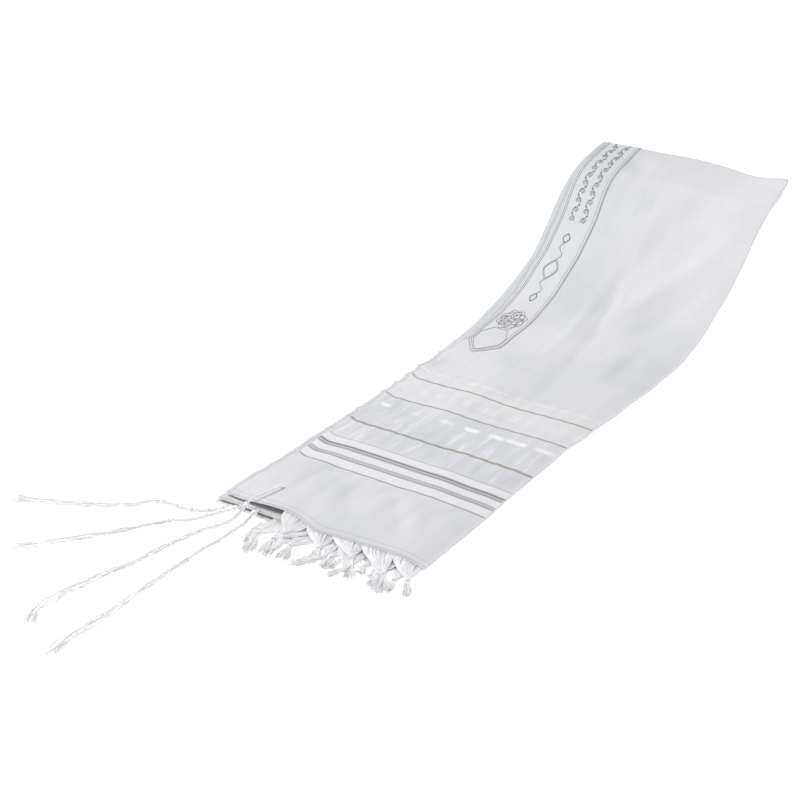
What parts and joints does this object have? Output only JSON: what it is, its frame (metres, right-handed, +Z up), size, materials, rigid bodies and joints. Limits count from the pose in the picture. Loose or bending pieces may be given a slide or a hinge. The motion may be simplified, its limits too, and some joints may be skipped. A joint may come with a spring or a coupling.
{
  "type": "tallit prayer shawl",
  "caption": "White prayer shawl folded lengthwise and crosswise, lying flat at its fringed end and raised in a soft S at its far fold, with knotted corner tassels.",
  "frame": {"origin": "on the flat underside, on the middle line of the folded cloth and 0.18 m from its near, fringed edge", "axes": "+Z up from the surface it lies on, +Y along the folded cloth from the fringed end to the raised far fold, +X across it towards the long fold"},
  "size_m": [0.5813, 1.1919, 0.2862],
  "materials": {
    "cloth": "fine white woven wool, matt, with woven satin, silver grey and pale gold stripes",
    "neckband": "white ribbon with a soft sheen and silver grey woven ornament",
    "fringe": "soft white unwoven warp yarn, knotted",
    "tzitzit": "twisted white wool cord, knotted"
  },
  "bodies": {
    "root": {"cloth_upper_half": "cloth", "cloth_lower_half": "cloth", "neckband": "neckband", "fringe_1": "fringe", "tzitzit_1": "tzitzit", "fringe_2": "fringe", "tzitzit_2": "tzitzit", "fringe_3": "fringe", "tzitzit_3": "tzitzit", "fringe_4": "fringe", "tzitzit_4": "tzitzit"}
  },
  "joints": []
}
